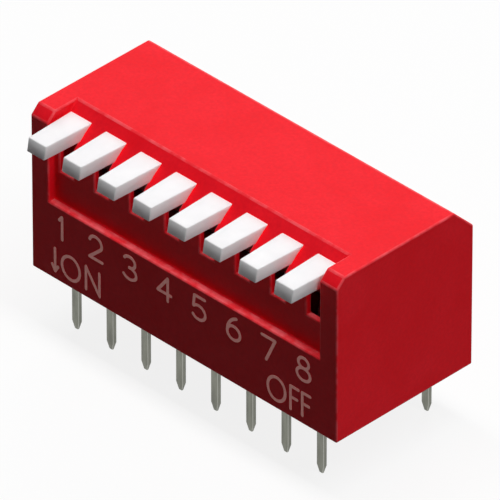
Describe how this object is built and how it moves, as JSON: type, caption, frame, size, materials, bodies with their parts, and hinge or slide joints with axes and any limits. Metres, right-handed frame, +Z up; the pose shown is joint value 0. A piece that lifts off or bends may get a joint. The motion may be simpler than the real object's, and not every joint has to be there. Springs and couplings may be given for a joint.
{
  "type": "dip switch",
  "caption": "Piano-type DIP switch: a red moulded housing with a row of rocking white levers along one long side and two rows of pins beneath.",
  "frame": {"origin": "centre of the pin grid on the seating plane, which is the lower rim of the cover", "axes": "+X along the row from position 1 to position 8, -Y out of the side with the levers, +Z up away from the board"},
  "size_m": [0.022, 0.0116, 0.0134],
  "materials": {
    "cover_red": "moulded, satin",
    "base_red": "moulded, matt",
    "lever_white": "moulded, satin",
    "contact_bronze": "gold-plated phosphor bronze strip",
    "terminal_tin": "tin-plated brass strip"
  },
  "bodies": {
    "housing": {"cover": "cover_red", "base": "base_red", "terminal_front_1": "terminal_tin", "terminal_front_2": "terminal_tin", "terminal_front_3": "terminal_tin", "terminal_front_4": "terminal_tin", "terminal_front_5": "terminal_tin", "terminal_front_6": "terminal_tin", "terminal_front_7": "terminal_tin", "terminal_front_8": "terminal_tin", "terminal_rear_1": "terminal_tin", "terminal_rear_2": "terminal_tin", "terminal_rear_3": "terminal_tin", "terminal_rear_4": "terminal_tin", "terminal_rear_5": "terminal_tin", "terminal_rear_6": "terminal_tin", "terminal_rear_7": "terminal_tin", "terminal_rear_8": "terminal_tin"},
    "lever_1": {"lever_1": "lever_white"},
    "lever_2": {"lever_2": "lever_white"},
    "lever_3": {"lever_3": "lever_white"},
    "lever_4": {"lever_4": "lever_white"},
    "lever_5": {"lever_5": "lever_white"},
    "lever_6": {"lever_6": "lever_white"},
    "lever_7": {"lever_7": "lever_white"},
    "lever_8": {"lever_8": "lever_white"},
    "contact_1": {"contact_1": "contact_bronze"},
    "contact_2": {"contact_2": "contact_bronze"},
    "contact_3": {"contact_3": "contact_bronze"},
    "contact_4": {"contact_4": "contact_bronze"},
    "contact_5": {"contact_5": "contact_bronze"},
    "contact_6": {"contact_6": "contact_bronze"},
    "contact_7": {"contact_7": "contact_bronze"},
    "contact_8": {"contact_8": "contact_bronze"}
  },
  "joints": [
    {"name": "lever_1_rock", "type": "hinge", "parent": "housing", "child": "lever_1", "pos_m": [-0.00889, -0.00042, 0.0056], "axis": [1, 0, 0], "range_deg": [0, 28]},
    {"name": "contact_1_slide", "type": "slide", "parent": "housing", "child": "contact_1", "axis": [0, 1, 0], "range_m": [0, 0.0015]},
    {"name": "lever_2_rock", "type": "hinge", "parent": "housing", "child": "lever_2", "pos_m": [-0.00635, -0.00042, 0.0056], "axis": [1, 0, 0], "range_deg": [0, 28]},
    {"name": "contact_2_slide", "type": "slide", "parent": "housing", "child": "contact_2", "axis": [0, 1, 0], "range_m": [0, 0.0015]},
    {"name": "lever_3_rock", "type": "hinge", "parent": "housing", "child": "lever_3", "pos_m": [-0.00381, -0.00042, 0.0056], "axis": [1, 0, 0], "range_deg": [0, 28]},
    {"name": "contact_3_slide", "type": "slide", "parent": "housing", "child": "contact_3", "axis": [0, 1, 0], "range_m": [0, 0.0015]},
    {"name": "lever_4_rock", "type": "hinge", "parent": "housing", "child": "lever_4", "pos_m": [-0.00127, -0.00042, 0.0056], "axis": [1, 0, 0], "range_deg": [0, 28]},
    {"name": "contact_4_slide", "type": "slide", "parent": "housing", "child": "contact_4", "axis": [0, 1, 0], "range_m": [0, 0.0015]},
    {"name": "lever_5_rock", "type": "hinge", "parent": "housing", "child": "lever_5", "pos_m": [0.00127, -0.00042, 0.0056], "axis": [1, 0, 0], "range_deg": [0, 28]},
    {"name": "contact_5_slide", "type": "slide", "parent": "housing", "child": "contact_5", "axis": [0, 1, 0], "range_m": [0, 0.0015]},
    {"name": "lever_6_rock", "type": "hinge", "parent": "housing", "child": "lever_6", "pos_m": [0.00381, -0.00042, 0.0056], "axis": [1, 0, 0], "range_deg": [0, 28]},
    {"name": "contact_6_slide", "type": "slide", "parent": "housing", "child": "contact_6", "axis": [0, 1, 0], "range_m": [0, 0.0015]},
    {"name": "lever_7_rock", "type": "hinge", "parent": "housing", "child": "lever_7", "pos_m": [0.00635, -0.00042, 0.0056], "axis": [1, 0, 0], "range_deg": [0, 28]},
    {"name": "contact_7_slide", "type": "slide", "parent": "housing", "child": "contact_7", "axis": [0, 1, 0], "range_m": [0, 0.0015]},
    {"name": "lever_8_rock", "type": "hinge", "parent": "housing", "child": "lever_8", "pos_m": [0.00889, -0.00042, 0.0056], "axis": [1, 0, 0], "range_deg": [0, 28]},
    {"name": "contact_8_slide", "type": "slide", "parent": "housing", "child": "contact_8", "axis": [0, 1, 0], "range_m": [0, 0.0015]}
  ],
  "couplings": [
    {"joint": "lever_1_rock", "follows": "contact_1_slide", "rad_per_m": 326.87},
    {"joint": "lever_2_rock", "follows": "contact_2_slide", "rad_per_m": 326.87},
    {"joint": "lever_3_rock", "follows": "contact_3_slide", "rad_per_m": 326.87},
    {"joint": "lever_4_rock", "follows": "contact_4_slide", "rad_per_m": 326.87},
    {"joint": "lever_5_rock", "follows": "contact_5_slide", "rad_per_m": 326.87},
    {"joint": "lever_6_rock", "follows": "contact_6_slide", "rad_per_m": 326.87},
    {"joint": "lever_7_rock", "follows": "contact_7_slide", "rad_per_m": 326.87},
    {"joint": "lever_8_rock", "follows": "contact_8_slide", "rad_per_m": 326.87}
  ]
}
